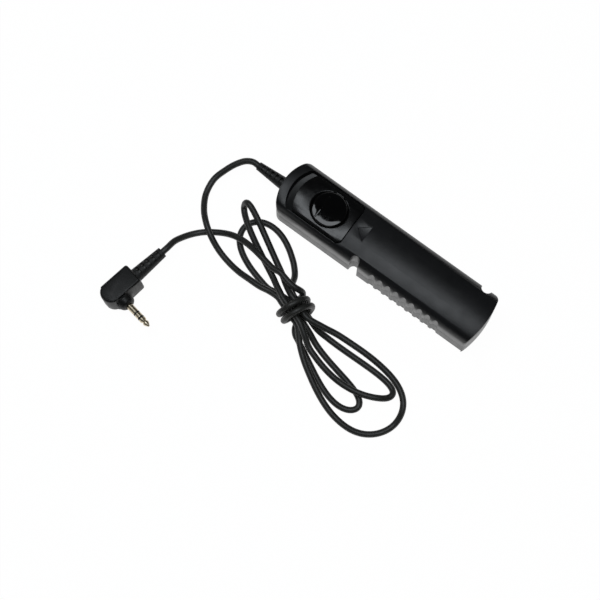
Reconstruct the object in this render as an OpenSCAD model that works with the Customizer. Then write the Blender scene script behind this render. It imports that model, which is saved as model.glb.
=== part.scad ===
// Wired remote switch for a camera: a hand grip with a lockable two-stage button,
// a thin cord gathered into a tied bundle, and a right-angle plug with a jack.
// Millimetres. +X runs from the cord end of the grip to its tail, +Z is up.

/* [Case] */
// Length of the case
case_l = 89; // [87:1:100]
// Width of the case
case_w = 21.4; // [21:0.2:25]
// Height of the case at its crown
case_h = 17; // [17:0.2:20]
// Height of the joint between the two shells
split_z = 7.4; // [7.2:0.1:7.8]
// Wall thickness of the shells
wall = 1.5; // [1.2:0.1:1.6]
// Radius of the crowned top, across the case
crown_r = 32; // [26:1:60]
// Radius of the rounded shoulder between top and side
shoulder_r = 4; // [3.8:0.1:4.2]
// Size of the chamfer along the bottom edge
sole_edge = 1; // [0.6:0.1:1.4]
// Radius of the bowed cord end
cord_end_r = 18.5; // [16:0.5:40]
// Radius of the bowed tail end
tail_end_r = 36; // [30:1:80]
// Corner radius of the cord end
cord_corner_r = 3.6; // [2.5:0.1:4.2]
// Corner radius of the tail, on the plain side
tail_corner_r = 3; // [1.5:0.1:4]
// Corner radius of the tail, on the grip side
tail_sharp_r = 1.3; // [1.2:0.1:2]

/* [Grip] */
// Number of finger bumps along the grip side
bump_count = 8; // [4:1:8]
// Distance from one bump to the next
bump_pitch = 3.5; // [3:0.1:3.5]
// Distance from the cord end to the first bump
bump_start = 48.2; // [46.5:0.1:48.8]
// Depth of the valleys between bumps
bump_depth = 0.7; // [0.4:0.1:0.9]
// Width of the cord slot on the grip side
slot_w = 3.6; // [3:0.1:4]
// Depth of the cord slot
slot_depth = 2.7; // [2.2:0.1:3.2]
// Distance from the cord end to the cord slot
slot_at = 38.1; // [36.5:0.1:38.6]
// Width of the small notch near the tail
notch_w = 4; // [3:0.1:4.4]
// Depth of the small notch
notch_depth = 2.3; // [1.6:0.1:2.6]
// Distance from the cord end to the small notch
notch_at = 82; // [79:0.1:82.4]
// Length of the moulded direction arrow
arrow_l = 4.1; // [3:0.1:5]
// Width of the moulded direction arrow
arrow_w = 6.8; // [5:0.1:9]
// Gap between the recess and the tip of the arrow
arrow_gap = 1.9; // [1:0.1:2.2]
// Distance of the arrow from the centre line, towards the plain side
arrow_shift = 0.5; // [0:0.1:1]
// Depth of the arrow at the crown
arrow_depth = 0.5; // [0.4:0.1:0.7]

/* [Recess and lock slider] */
// Distance from the cord end to the recess
recess_at = 3.5; // [3:0.1:5]
// Length of the recess
recess_l = 26.7; // [25.4:0.1:27]
// Width of the recess
recess_w = 17.4; // [17:0.1:17.6]
// Depth of the recess floor below the crown
recess_depth = 4.8; // [4.6:0.1:5]
// Thickness of the recess floor
recess_floor_t = 1.2; // [1:0.1:1.3]
// Corner radius of the recess
recess_corner_r = 1.8; // [1.5:0.1:2.5]
// Travel of the lock slider towards the cord end
lock_travel = 2.7; // [2:0.1:2.8]
// Gap all round the slider
slider_gap = 0.25; // [0.2:0.05:0.35]
// How far the slider's face lies below the crown
slider_sunk = 0.3; // [0.2:0.05:0.6]
// Outer diameter of the spring cup under the slider
cup_d = 9.6; // [9.2:0.1:10]
// Wall of the spring cup
cup_wall = 1; // [0.8:0.1:1.1]
// Thickness of the cup's floor
cup_floor_t = 0.8; // [0.7:0.1:0.9]
// Width of each slider hook
hook_w = 4; // [3:0.1:4.4]
// Thickness of each slider hook
hook_t = 1.1; // [0.9:0.1:1.2]
// Reach of the hook's barb under the floor
barb = 0.6; // [0.4:0.1:0.7]

/* [Button] */
// Diameter of the button
button_d = 13; // [12.8:0.1:13.2]
// Thickness of the button's head
button_t = 1.7; // [1.6:0.1:1.8]
// Full travel of the button
press_travel = 1.5; // [1.2:0.1:1.5]
// Radial gap round the button
button_gap = 0.25; // [0.2:0.05:0.35]
// How far the button's rim stands above the slider
button_proud = 0.3; // [0:0.05:0.6]
// Rise of the slightly domed top
dome_h = 0.25; // [0.15:0.05:0.4]
// Width of the chamfer round the button's rim
rim_edge = 0.3; // [0.2:0.05:0.4]
// Width of the chamfer round the slider's well
well_edge = 0.35; // [0.3:0.05:0.5]
// Distance from the button's centre to the raised rib
rib_offset = 2.5; // [2:0.1:3]
// Width of the raised rib
rib_w = 0.45; // [0.3:0.05:0.6]
// Diameter of the button's stem
stem_d = 3; // [2.6:0.1:3.2]
// Diameter of the stem's barbed foot
foot_d = 4; // [3.8:0.1:4.4]
// Running clearance of the stem in the cup's floor
stem_clearance = 0.08; // [0.05:0.01:0.1]
// Wire diameter of the return spring
spring_wire = 0.5; // [0.4:0.05:0.55]
// Mean diameter of the return spring
spring_d = 5.4; // [5:0.1:5.6]
// Number of turns of the return spring
spring_turns = 4; // [3:1:5]

/* [Contacts] */
// Width of the contact leaves
leaf_w = 4; // [3:0.1:5]
// Thickness of the contact leaves
leaf_t = 0.3; // [0.2:0.05:0.35]
// Length of the clamped foot of each leaf
leaf_foot = 6; // [5:0.1:6.5]
// Thickness of the insulating spacers
spacer_t = 0.9; // [0.7:0.1:1]
// Width of the contact block
block_w = 6.4; // [6:0.1:7]
// Diameter of the contact screw
contact_screw_d = 1.6; // [1.4:0.1:1.8]
// Diameter of the three inner wires
wire_d = 0.8; // [0.6:0.05:0.9]

/* [Case screws] */
// Diameter of the screws
screw_d = 2; // [1.8:0.1:2.2]
// Diameter of the screw heads
screw_head_d = 3.6; // [3.4:0.1:3.8]
// Height of the screw heads
screw_head_t = 1.2; // [1:0.1:1.3]
// Length of the screws under the head
screw_l = 7.6; // [7:0.1:8]
// Diameter of the bosses in the shells
boss_d = 5; // [4.8:0.1:5.2]
// Radial clearance of screws in their holes
screw_clearance = 0.05; // [0.03:0.01:0.08]

/* [Cord and strain reliefs] */
// Diameter of the cord
cord_d = 2.4; // [2.2:0.1:2.4]
// Gap between crossing runs of the cord
cord_gap = 0.5; // [0.5:0.1:0.8]
// Length of the grip's strain relief outside the case
grommet_l = 12.4; // [11:0.1:13]
// Diameter of the grip's strain relief at the case
grommet_d = 5.1; // [4.6:0.1:5.4]
// Diameter of the grip's strain relief at the cord
grommet_tip_d = 3.2; // [3.1:0.1:3.8]
// Number of windows in the grip's strain relief
grommet_windows = 5; // [4:1:6]
// Distance from one of these windows to the next
grommet_pitch = 2; // [1.8:0.1:2.1]
// Diameter of the flange that the shells hold
flange_d = 7; // [6.6:0.1:8]
// Thickness of that flange
flange_t = 1.2; // [1:0.1:1.4]

/* [Plug] */
// Length of the plug's strain relief
boot_l = 13; // [12:0.1:14]
// Diameter of the plug's strain relief at the body
boot_d = 5.4; // [5:0.1:5.8]
// Diameter of the plug's strain relief at the cord
boot_tip_d = 4.1; // [3.8:0.1:4.4]
// Number of windows in the plug's strain relief
boot_windows = 5; // [4:1:6]
// Distance from one of these windows to the next
boot_pitch = 2.3; // [2:0.1:2.4]
// Length of the plug's body along the cord
plug_l = 14.8; // [14:0.1:16]
// Width of the plug's body along the jack
plug_w = 8.6; // [8.4:0.1:9.6]
// Thickness of the plug's body
plug_t = 8.5; // [8.2:0.1:9.4]
// Edge radius of the plug's body
plug_r = 1; // [0.8:0.1:1.4]
// Distance from the strain relief to the jack's axis
jack_at = 9.2; // [9:0.1:10]
// Height of the collar round the jack
collar_l = 3; // [2.5:0.1:3.6]
// Diameter of the collar at the body
collar_d = 7.8; // [7.4:0.1:8]
// Diameter of the collar at the jack
collar_tip_d = 4.9; // [4.4:0.1:5.4]
// Roll of the plug about the cord
plug_roll = 10; // [0:1:25]

/* [Jack] */
// Diameter of the jack
jack_d = 2.5; // [2.5]
// Length of the jack outside the collar
jack_l = 11; // [11]
// Length of the tip contact
tip_l = 4.1; // [4.1]
// Length of the ring contact
ring_l = 1.8; // [1.8]
// Width of each insulating band
band_l = 0.6; // [0.6]
// Diameter of the insulating core
core_d = 1.7; // [1.6:0.1:1.8]
// Depth to which the jack is moulded into the plug
jack_root = 5; // [4:0.1:6]
// Diameter of the jack's root
root_d = 2.1; // [2.05:0.05:2.15]
// Length of the root that shows between the collar and the sleeve contact
neck_l = 0.2; // [0.1:0.1:0.3]

/* [Hidden] */

eps = 0.01;
big = 60;
fn_big = 96;
fn_mid = 48;
fn_small = 32;

// Stations along the case, from its cord end
cord_end_x = -case_l / 2;
tail_x = case_l / 2;
recess_x = cord_end_x + recess_at;
recess_end_x = recess_x + recess_l;
slot_x = cord_end_x + slot_at;
notch_x = cord_end_x + notch_at;
arrow_x = recess_end_x + arrow_gap;

// Levels of the top
recess_z = case_h - recess_depth;
recess_under_z = recess_z - recess_floor_t;
slider_z = case_h - slider_sunk;
slider_x = recess_x + slider_gap + lock_travel;
slider_end_x = recess_end_x - slider_gap;
slider_w = recess_w - 2 * slider_gap;
slider_corner_r = recess_corner_r + 0.2;
recess_end_r = cord_end_r - recess_at;
tub_wall = 1.5;

// Slider, cup and hooks
slide_gap = 0.1;
slider_under_z = recess_z + slide_gap;
button_back = 3.75;
button_x = slider_end_x - button_d / 2 - button_back;
button_top_z = slider_z + button_proud;
button_under_z = button_top_z - button_t;
well_z = button_under_z - press_travel - 0.2;
well_d = button_d + 2 * button_gap;
well_drop = 0.35;
cup_z = recess_under_z - 1.6;
cup_floor_z = cup_z + cup_floor_t;
cup_bore_d = cup_d - 2 * cup_wall;
cup_gap = 0.2;
hook_y = cup_d / 2 + cup_gap + 1.7;
hook_gap = 0.2;
barb_t = 0.8;
barb_z = recess_under_z - slide_gap - barb_t;
rib_h = 0.25;
rib_l = 9;
rib_side = 5.3;

// Foot of the button's stem, held under the cup
foot_t = 0.8;
foot_z = cup_z - slide_gap - foot_t;

// Contact block: leaves are clamped behind the button and rise towards it
block_x = button_x + 13.5;
floor_z = wall;
leaf_flat = 5.4;
leaf_reach = block_x - button_x + 3.4;
leaf_rise = 1.9;
tail_step = 1.2;
common_tip_z = foot_z - 0.05;
common_foot_z = common_tip_z - leaf_t - leaf_rise;
focus_foot_z = common_foot_z - spacer_t - leaf_t;
release_foot_z = focus_foot_z - spacer_t - leaf_t;
wire_ring_r = 0.7;
block_top_z = common_foot_z + leaf_t + spacer_t;

// Case screws
screw_x = cord_end_x + 8;
screw_y = case_w / 2 - wall - boss_d / 2 + 0.6;
tail_screw_x = tail_x - 9;
screw_seat_z = 1.6;
pilot_top_z = screw_seat_z + screw_l + 0.4;
screw_places = [[screw_x, screw_y], [screw_x, -screw_y], [tail_screw_x, -2]];

// Cord exit from the grip
grommet_z = split_z;
grommet_tip_x = cord_end_x - grommet_l;
flange_x = cord_end_x + wall + flange_t;
seat_gap = 0.05;
flange_wall = 1;
inner_cord_l = 5.5;
inner_cord_x = flange_x + flange_t + inner_cord_l;
cord_bore_d = cord_d + 2 * seat_gap;

// Plug: its axis leaves the strain relief's tip in the direction plug_turn
plug_turn = -100.5;
plug_tip = [-65.9, -46.6];
plug_cord_l = 4;
plug_lift = (plug_w / 2 - plug_r) * sin(plug_roll) + (plug_t / 2 - plug_r) * cos(plug_roll) + plug_r;

function unit(v) = v / norm(v);

// ---- plan shapes -------------------------------------------------------------

// Bowed end of a strip: an arc of radius r_end whose apex is at x, with two corner
// radii, filling the strip as far as x_to. The end faces -X.
module bowed_end(x, x_to, w, r_end, r_low, r_high) {
    centre = [x + r_end, 0];
    fx_low = centre[0] - sqrt(pow(r_end - r_low, 2) - pow(w / 2 - r_low, 2));
    fx_high = centre[0] - sqrt(pow(r_end - r_high, 2) - pow(w / 2 - r_high, 2));
    low = [fx_low, -w / 2 + r_low];
    high = [fx_high, w / 2 - r_high];
    low_in = low + unit(centre - low);
    high_in = high + unit(centre - high);
    intersection() {
        translate(centre) circle(r = r_end, $fn = fn_big);
        polygon([low_in, high_in, centre + 2 * (high - centre), centre + 2 * (low - centre)]);
    }
    translate(low) circle(r = r_low, $fn = fn_small);
    translate(high) circle(r = r_high, $fn = fn_small);
    polygon([low, [low[0], -w / 2], [x_to, -w / 2], [x_to, w / 2], [high[0], w / 2], high]);
}

// Strip bowed at both ends
module bowed_plan(xa, xb, w, ra, rb, corner_a, corner_b_low, corner_b_high) {
    middle = (xa + xb) / 2;
    bowed_end(xa, middle, w, ra, corner_a, corner_a);
    translate([2 * middle, 0])
        mirror([1, 0])
            bowed_end(xa, middle + eps, w, rb, corner_b_low, corner_b_high);
}

// Outline of the case seen from above
module case_plan() {
    bowed_plan(cord_end_x, tail_x, case_w, cord_end_r, tail_end_r, cord_corner_r, tail_sharp_r,
        tail_corner_r);
}

// Section across the case, drawn with height along X: crowned top, rounded shoulders
module case_section() {
    translate([case_h, 0])
        mirror([1, 0])
            bowed_end(0, case_h / 2, case_w, crown_r, shoulder_r, shoulder_r);
    difference() {
        translate([0, -case_w / 2]) square([case_h / 2 + eps, case_w]);
        for (side = [-1, 1])
            translate([0, side * case_w / 2]) rotate(45) square(sole_edge, center = true);
    }
}

// Bar with the section of the case, longer than the case
module case_bar() {
    translate([cord_end_x - 1, 0, 0])
        rotate([0, -90, 0])
            mirror([0, 0, 1])
                linear_extrude(height = case_l + 2) case_section();
}

module case_solid() {
    intersection() {
        linear_extrude(height = case_h) case_plan();
        case_bar();
    }
}

// Hollow of the case: walls of even thickness, a flat inner face at the tail
module case_hollow() {
    in_w = case_w - 2 * wall;
    in_tail_x = tail_x - 2 * wall;
    arc_x = cord_end_x + cord_end_r;
    intersection() {
        translate([0, 0, wall])
            linear_extrude(height = case_h) {
                intersection() {
                    translate([cord_end_x, -in_w / 2]) square([case_l / 2, in_w]);
                    translate([arc_x, 0]) circle(r = cord_end_r - wall, $fn = fn_big);
                }
                translate([arc_x, -in_w / 2]) square([in_tail_x - arc_x, in_w]);
            }
        translate([cord_end_x - 1, 0, case_h - crown_r])
            rotate([0, 90, 0])
                cylinder(r = crown_r - wall, h = case_l + 2, $fn = fn_big);
    }
}

// Through slots that hold the cord on both long sides, widened by extra
module side_slots(extra) {
    translate([slot_x, -case_w / 2 + slot_depth - slot_w / 2, -1]) {
        cylinder(d = slot_w + 2 * extra, h = case_h + 2, $fn = fn_small);
        translate([-slot_w / 2 - extra, -big, 0])
            cube([slot_w + 2 * extra, big, case_h + 2]);
    }
    translate([notch_x, case_w / 2 - notch_depth + notch_w / 2, -1])
        cylinder(d = notch_w + 2 * extra, h = case_h + 2, $fn = fn_small);
}

// Valleys between the finger bumps
module bump_valleys() {
    valley_r = bump_pitch / 2.4;
    for (i = [0:bump_count])
        translate([cord_end_x + bump_start + (i - 0.5) * bump_pitch,
            -case_w / 2 - valley_r + bump_depth, -1])
            cylinder(r = valley_r, h = case_h + 2, $fn = fn_small);
}

// Hole for the strain relief and the slot for its flange
module grommet_seat() {
    translate([cord_end_x - 1, 0, grommet_z])
        rotate([0, 90, 0])
            cylinder(d = grommet_d + 2 * seat_gap, h = flange_x - cord_end_x + 2, $fn = fn_small);
    translate([flange_x - seat_gap, 0, grommet_z])
        rotate([0, 90, 0])
            cylinder(d = flange_d + 2 * seat_gap, h = flange_t + 2 * seat_gap, $fn = fn_small);
    translate([flange_x, 0, grommet_z])
        rotate([0, 90, 0])
            cylinder(d = cord_d + 8 * seat_gap, h = 6, $fn = fn_small);
}

// Block inside the cord end that the flange slot is cut into
module grommet_block(z_from, z_to) {
    x_from = cord_end_x + wall / 2;
    translate([x_from, -flange_d / 2 - flange_wall, z_from])
        cube([flange_x + flange_t + flange_wall - x_from, flange_d + 2 * flange_wall,
            z_to - z_from]);
}

// Outline of the recess and of the slider in it: bowed towards the cord, square at the tail
module recess_plan(xa, w, r_corner) {
    xb = recess_end_x - (recess_w - w) / 2;
    middle = (xa + xb) / 2;
    bowed_end(xa, middle, w, recess_end_r, r_corner, r_corner);
    translate([middle - eps, -w / 2]) square([xb - r_corner - middle + eps, w]);
    translate([middle, -w / 2 + r_corner]) square([xb - middle, w - 2 * r_corner]);
    for (side = [-1, 1])
        translate([xb - r_corner, side * (w / 2 - r_corner)]) circle(r = r_corner, $fn = fn_small);
}

// ---- case --------------------------------------------------------------------

module upper_shell() color([0.07, 0.075, 0.085]) {
    difference() {
        intersection() {
            case_solid();
            translate([-case_l, -case_w, split_z]) cube([2 * case_l, 2 * case_w, case_h]);
        }
        difference() {
            case_hollow();
            // the tub of the recess, the slot walls, the bosses and the flange block stay
            translate([cord_end_x, -case_w, recess_under_z])
                cube([recess_end_x + tub_wall - cord_end_x, 2 * case_w, case_h]);
            slot_walls(split_z, case_h);
            for (p = screw_places)
                translate([p[0], p[1], split_z])
                    cylinder(d = boss_d, h = case_h, $fn = fn_small);
            grommet_block(split_z, split_z + flange_d / 2 + flange_wall);
        }
        side_slots(0);
        bump_valleys();
        grommet_seat();
        // recess
        translate([0, 0, recess_z])
            linear_extrude(height = case_h)
                recess_plan(recess_x, recess_w, recess_corner_r);
        cup_way();
        hook_ways();
        // pilot holes
        for (p = screw_places)
            translate([p[0], p[1], split_z - 1])
                cylinder(d = screw_d + 2 * screw_clearance, h = pilot_top_z - split_z + 1,
                    $fn = fn_small);
        // direction arrow
        translate([0, 0, case_h - arrow_depth])
            linear_extrude(height = 2)
                polygon([[arrow_x, arrow_shift],
                    [arrow_x + arrow_l, arrow_shift - arrow_w / 2],
                    [arrow_x + arrow_l, arrow_shift + arrow_w / 2]]);
    }
}

// Walls that close the two cord slots inwards
module slot_walls(z_from, z_to) {
    intersection() {
        side_slots(wall);
        translate([-case_l, -case_w, z_from]) cube([2 * case_l, 2 * case_w, z_to - z_from]);
    }
}

// Stadium-shaped way of the spring cup through the recess floor
module cup_way() {
    way_d = cup_d + 2 * cup_gap;
    for (x = [button_x - lock_travel, button_x])
        translate([x, 0, recess_under_z - 1])
            cylinder(d = way_d, h = recess_floor_t + 2, $fn = fn_mid);
    translate([button_x - lock_travel, -way_d / 2, recess_under_z - 1])
        cube([lock_travel, way_d, recess_floor_t + 2]);
}

// Ways of the two hooks through the recess floor
module hook_ways() {
    for (side = [-1, 1])
        translate([button_x - hook_w / 2 - hook_gap - lock_travel,
            side * hook_y - hook_t / 2 - hook_gap - (side < 0 ? barb : 0), recess_under_z - 1])
            cube([hook_w + 2 * hook_gap + lock_travel, hook_t + 2 * hook_gap + barb,
                recess_floor_t + 2]);
}

module lower_shell() color([0.07, 0.075, 0.085]) {
    difference() {
        intersection() {
            case_solid();
            translate([-case_l, -case_w, 0]) cube([2 * case_l, 2 * case_w, split_z]);
        }
        difference() {
            case_hollow();
            slot_walls(0, split_z);
            for (p = screw_places)
                translate([p[0], p[1], 0]) cylinder(d = boss_d, h = split_z, $fn = fn_small);
            grommet_block(0, split_z);
        }
        side_slots(0);
        bump_valleys();
        grommet_seat();
        for (p = screw_places)
            translate([p[0], p[1], -1]) {
                cylinder(d = screw_head_d + 0.3, h = screw_seat_z + 1, $fn = fn_small);
                cylinder(d = screw_d + 4 * screw_clearance, h = split_z + 2, $fn = fn_small);
            }
    }
}

module case_screws() color([0.55, 0.56, 0.58]) {
    head_z = screw_seat_z - screw_head_t;
    for (p = screw_places)
        translate([p[0], p[1], head_z])
            difference() {
                union() {
                    cylinder(d = screw_head_d, h = screw_head_t, $fn = fn_small);
                    cylinder(d = screw_d, h = screw_head_t + screw_l, $fn = fn_small);
                }
                for (turn = [0, 90])
                    rotate(turn)
                        translate([-screw_head_d / 3, -0.25, -1])
                            cube([2 * screw_head_d / 3, 0.5, 1.6]);
            }
}

// ---- lock slider and button ---------------------------------------------------

module lock_slider() color([0.12, 0.125, 0.135]) {
    difference() {
        union() {
            intersection() {
                translate([0, 0, slider_under_z])
                    linear_extrude(height = case_h)
                        recess_plan(slider_x, slider_w, slider_corner_r);
                translate([cord_end_x, 0, slider_z - crown_r])
                    rotate([0, 90, 0]) cylinder(r = crown_r, h = case_l, $fn = fn_big);
            }
            translate([button_x, 0, cup_z])
                cylinder(d = cup_d, h = slider_under_z + 1 - cup_z, $fn = fn_mid);
            for (side = [-1, 1])
                hook(side);
        }
        // well for the button's head
        translate([button_x, 0, well_z]) cylinder(d = well_d, h = case_h, $fn = fn_big);
        translate([button_x, 0, slider_z - well_edge - well_drop])
            cylinder(d1 = well_d, d2 = well_d + 6 * well_edge, h = 3 * well_edge, $fn = fn_big);
        // bore of the spring cup
        translate([button_x, 0, cup_floor_z])
            cylinder(d = cup_bore_d, h = case_h, $fn = fn_mid);
        // bore for the stem
        translate([button_x, 0, cup_z - 1])
            cylinder(d = stem_d + 2 * stem_clearance, h = cup_floor_t + 2, $fn = fn_small);
        // fine groove in line with the button's rib
        translate([button_x - rib_offset - rib_w / 2, -case_w, slider_z - 2 * rib_h])
            cube([rib_w, case_w, 2]);
    }
}

// Hook of the slider, with a barb that faces outwards
module hook(side) {
    barb_y = side < 0 ? -hook_y - hook_t / 2 - barb : hook_y + hook_t / 2 - eps;
    translate([button_x - hook_w / 2, side * hook_y - hook_t / 2, barb_z])
        cube([hook_w, hook_t, slider_under_z + 1 - barb_z]);
    translate([button_x - hook_w / 2, barb_y, barb_z]) cube([hook_w, barb + eps, barb_t]);
}

module shutter_button() color([0.06, 0.06, 0.065]) {
    dome_r = (pow(button_d / 2, 2) + pow(dome_h, 2)) / (2 * dome_h);
    rim_z = button_top_z - dome_h;
    translate([button_x, 0, 0]) {
        rotate_extrude($fn = fn_big)
            intersection() {
                polygon([[0, button_under_z], [button_d / 2, button_under_z],
                    [button_d / 2, rim_z - rim_edge], [button_d / 2 - rim_edge, rim_z + eps],
                    [button_d / 4, case_h + 1], [0, case_h + 1]]);
                translate([0, button_top_z - dome_r]) circle(r = dome_r, $fn = 8 * fn_big);
            }
        // raised rib across the top
        translate([-rib_offset - rib_w / 2, -rib_side, button_top_z - button_t / 2])
            cube([rib_w, rib_l, button_t / 2 + rib_h - dome_h / 2]);
        // stem and barbed foot
        translate([0, 0, foot_z]) cylinder(d = stem_d, h = button_under_z - foot_z + eps, $fn = fn_small);
        translate([0, 0, foot_z]) cylinder(d = foot_d, h = foot_t, $fn = fn_small);
    }
}

// Compression spring drawn as one helix of triangles
module button_spring() color([0.72, 0.72, 0.74]) {
    sides = 6;
    steps = 10;
    rest_l = button_under_z - cup_floor_z - spring_wire;
    pts = [for (i = [0:spring_turns * steps])
        let (a = 360 * i / steps, z = rest_l * i / (spring_turns * steps))
        [spring_d / 2 * cos(a), spring_d / 2 * sin(a), z]];
    translate([button_x, 0, cup_floor_z + spring_wire / 2]) tube(pts, spring_wire, sides);
}

// ---- contacts and wires -------------------------------------------------------

// Leaf: a clamped foot, then a slope to a tip under the button
module leaf(foot_z, tip_z, reach, tail) {
    translate([block_x, leaf_w / 2, 0])
        rotate([90, 0, 0])
            linear_extrude(height = leaf_w)
                polygon([[tail, foot_z], [tail, foot_z + leaf_t], [0, foot_z + leaf_t],
                    [-reach + leaf_flat, tip_z], [-reach, tip_z], [-reach, tip_z - leaf_t],
                    [-reach + leaf_flat, tip_z - leaf_t], [0, foot_z]]);
}

module contact_bore() {
    translate([block_x + leaf_foot / 2, 0, -1])
        cylinder(d = contact_screw_d + 0.4, h = case_h, $fn = fn_small);
}

module common_contact() color([0.80, 0.66, 0.36]) difference() {
    leaf(common_foot_z, common_tip_z, leaf_reach, leaf_foot + tail_step);
    contact_bore();
}

module focus_contact() color([0.80, 0.66, 0.36]) difference() {
    leaf(focus_foot_z, focus_foot_z + 1.5, leaf_reach, leaf_foot + 2 * tail_step);
    contact_bore();
}

module release_contact() color([0.80, 0.66, 0.36]) difference() {
    leaf(release_foot_z, release_foot_z + 1, leaf_reach, leaf_foot + 3 * tail_step);
    contact_bore();
}

module contact_base() color([0.16, 0.16, 0.17]) difference() {
    translate([block_x, -block_w / 2, floor_z]) cube([leaf_foot, block_w, release_foot_z - floor_z]);
    translate([block_x + leaf_foot / 2, 0, floor_z + 0.4])
        cylinder(d = contact_screw_d + 2 * screw_clearance, h = case_h, $fn = fn_small);
}

module contact_spacers() color([0.70, 0.68, 0.60]) difference() {
    for (z = [common_foot_z, focus_foot_z, release_foot_z])
        translate([block_x, -block_w / 2, z + leaf_t]) cube([leaf_foot, block_w, spacer_t]);
    contact_bore();
}

module contact_screw() color([0.55, 0.56, 0.58]) {
    translate([block_x + leaf_foot / 2, 0, floor_z + 0.6]) {
        cylinder(d = contact_screw_d, h = block_top_z - floor_z - 0.6 + eps, $fn = fn_small);
        translate([0, 0, block_top_z - floor_z - 0.6])
            cylinder(d = 2 * contact_screw_d, h = 0.8, $fn = fn_small);
    }
}

// ---- cord tubes ---------------------------------------------------------------

// Tube of flat facets that follows a list of points
function ring_dir(p, i) = unit(p[min(i + 1, len(p) - 1)] - p[max(i - 1, 0)]);
function side_of(t) = unit(cross(abs(t[2]) > 0.8 ? [1, 0, 0] : [0, 0, 1], t));
module tube(p, d, sides) {
    n = len(p);
    points = [for (i = [0:n - 1])
        let (t = ring_dir(p, i), u = side_of(t), v = cross(t, u))
        for (k = [0:sides - 1])
            let (a = 360 * (k + 0.5) / sides) p[i] + d / 2 * (cos(a) * u + sin(a) * v)];
    start = [for (k = [1:sides - 2]) [0, k + 1, k]];
    finish = [for (k = [1:sides - 2])
        [(n - 1) * sides, (n - 1) * sides + k, (n - 1) * sides + k + 1]];
    skin = [for (i = [0:n - 2]) for (k = [0:sides - 1])
        let (a = i * sides + k, b = i * sides + (k + 1) % sides, c = a + sides, e = b + sides)
        each [[a, b, e], [a, e, c]]];
    polyhedron(points, concat(start, skin, finish));
}

// Stripped end of the cord inside the case, through the strain relief
module inner_cord() color([0.20, 0.20, 0.19]) {
    translate([grommet_tip_x, 0, grommet_z])
        rotate([0, 90, 0])
            cylinder(d = cord_d, h = inner_cord_x - grommet_tip_x, $fn = fn_small);
}

// Wire from the inner end of the cord, along one side of the leaves, to the edge of a tail.
// It starts at the angle from_turn in the cord and runs in the given lane.
module wire(from_turn, lane, tail_no, foot_z) {
    x = block_x + leaf_foot + (tail_no - 0.5) * tail_step + 0.05;
    y0 = wire_ring_r * cos(from_turn);
    z0 = grommet_z + wire_ring_r * sin(from_turn);
    y = block_w / 2 + cup_gap + wire_d * (0.65 + 1.35 * lane);
    z = foot_z + leaf_t / 2;
    edge = leaf_w / 2;
    near = edge + wire_d;
    tube([[inner_cord_x, y0, z0], [inner_cord_x + wire_d, y0, z0],
        [inner_cord_x + 3 * wire_d, mix(y0, y, 0.3), mix(z0, z, 0.1)],
        [inner_cord_x + 5.5 * wire_d, mix(y0, y, 0.85), mix(z0, z, 0.2)],
        [inner_cord_x + 8 * wire_d, y, mix(z0, z, 0.3)], [x - 4 * wire_d, y, z],
        [x - 1.5 * wire_d, y - wire_d / 16, z], [x - wire_d / 2, y - wire_d / 2, z],
        [x, mix(y, near, 0.85), z], [x, near, z], [x, edge, z]], wire_d, 6);
}
module wire_common() color([0.85, 0.85, 0.85]) wire(210, 0, 1, common_foot_z);
module wire_focus() color([0.75, 0.12, 0.10]) wire(90, 1, 2, focus_foot_z);
module wire_release() color([0.85, 0.72, 0.12]) wire(330, 2, 3, release_foot_z);

// ---- the loose cord -----------------------------------------------------------

// Middle of the tie, and the direction of the bundle through it
waist = [-12.97, -35.62];
waist_turn = -19.47;
loop_side_end = 4;
cord_side_end = -6;
blend_l = 8;
layer_pitch = cord_d + cord_gap;
loop_rings = 28;
bundle_r = (cord_d + cord_gap + 0.2) / (2 * sin(36));
wrap_r = bundle_r + cord_d + cord_gap + 0.1;
wrap_z = cord_d / 2 + wrap_r;
wrap_pitch = cord_d + cord_gap + 0.05;
wrap_start = 2.2;
wrap_turns = 2.2;
wrap_rings = 20;
// Places of the five runs round the middle of the tie, as angles
right = -18;
top_right = 54;
top_left = 126;
left = 198;
bottom = 270;

// Each loop: reach, spread, lean, bow, skew, side shift where it starts and ends, tilt of
// its tip, the places where it leaves and enters the tie, and its height in cord layers
// at equal steps round the loop
LOOPS = [
    [53.2, -10.2, -16.67, 3.5, -1.8, -3, 1, 0, left, top_right,
        [1.2, 1, 0.6, 0, 0, 1, 1, 1.5, 2.6]],
    [45, -0.3, 153.73, -2, -1.3, -1.5, 2, 7, top_right, top_left,
        [2.4, 1.5, 1.4, 1.45, 1.6, 1.75, 1.45, 2, 2.8]],
    [43.3, -5, -21.97, 13, -0.4, -1.5, 1.2, 0, top_left, right,
        [2.6, 1.6, 1, 1, 0.3, 0, 0, 0, 0.6]],
    [38.6, -8.3, 150.23, 2.1, 0.6, -0.6, 0.2, 0, right, bottom,
        [0.8, 0, 0, 0, 0, 0, 0, 0, 0.4]],
    [40.1, -1.2, -29.57, 6.5, 5.9, 1.5, -4, 0, bottom, undef,
        [0.4, 0, 0, 0, 0, 0, 0, 0, 0]]];

function mix(a, b, f) = a + (b - a) * f;
function smooth(x) = let (c = min(max(x, 0), 1)) c * c * (3 - 2 * c);
function layer_z(h, t) =
    let (n = len(h) - 1, i = min(floor(t * n), n - 1))
    cord_d / 2 + layer_pitch * mix(h[i], h[i + 1], smooth(t * n - i));
// a runs along the bundle, c across it
function at_waist(a, c, z) =
    [waist[0] + a * cos(waist_turn) - c * sin(waist_turn),
     waist[1] + a * sin(waist_turn) + c * cos(waist_turn), z];
function at_place(place, a) =
    at_waist(a, bundle_r * cos(place), wrap_z + bundle_r * sin(place));
function loop_end(l) = cos(l[2] - waist_turn) > 0 ? loop_side_end : cord_side_end;

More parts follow.
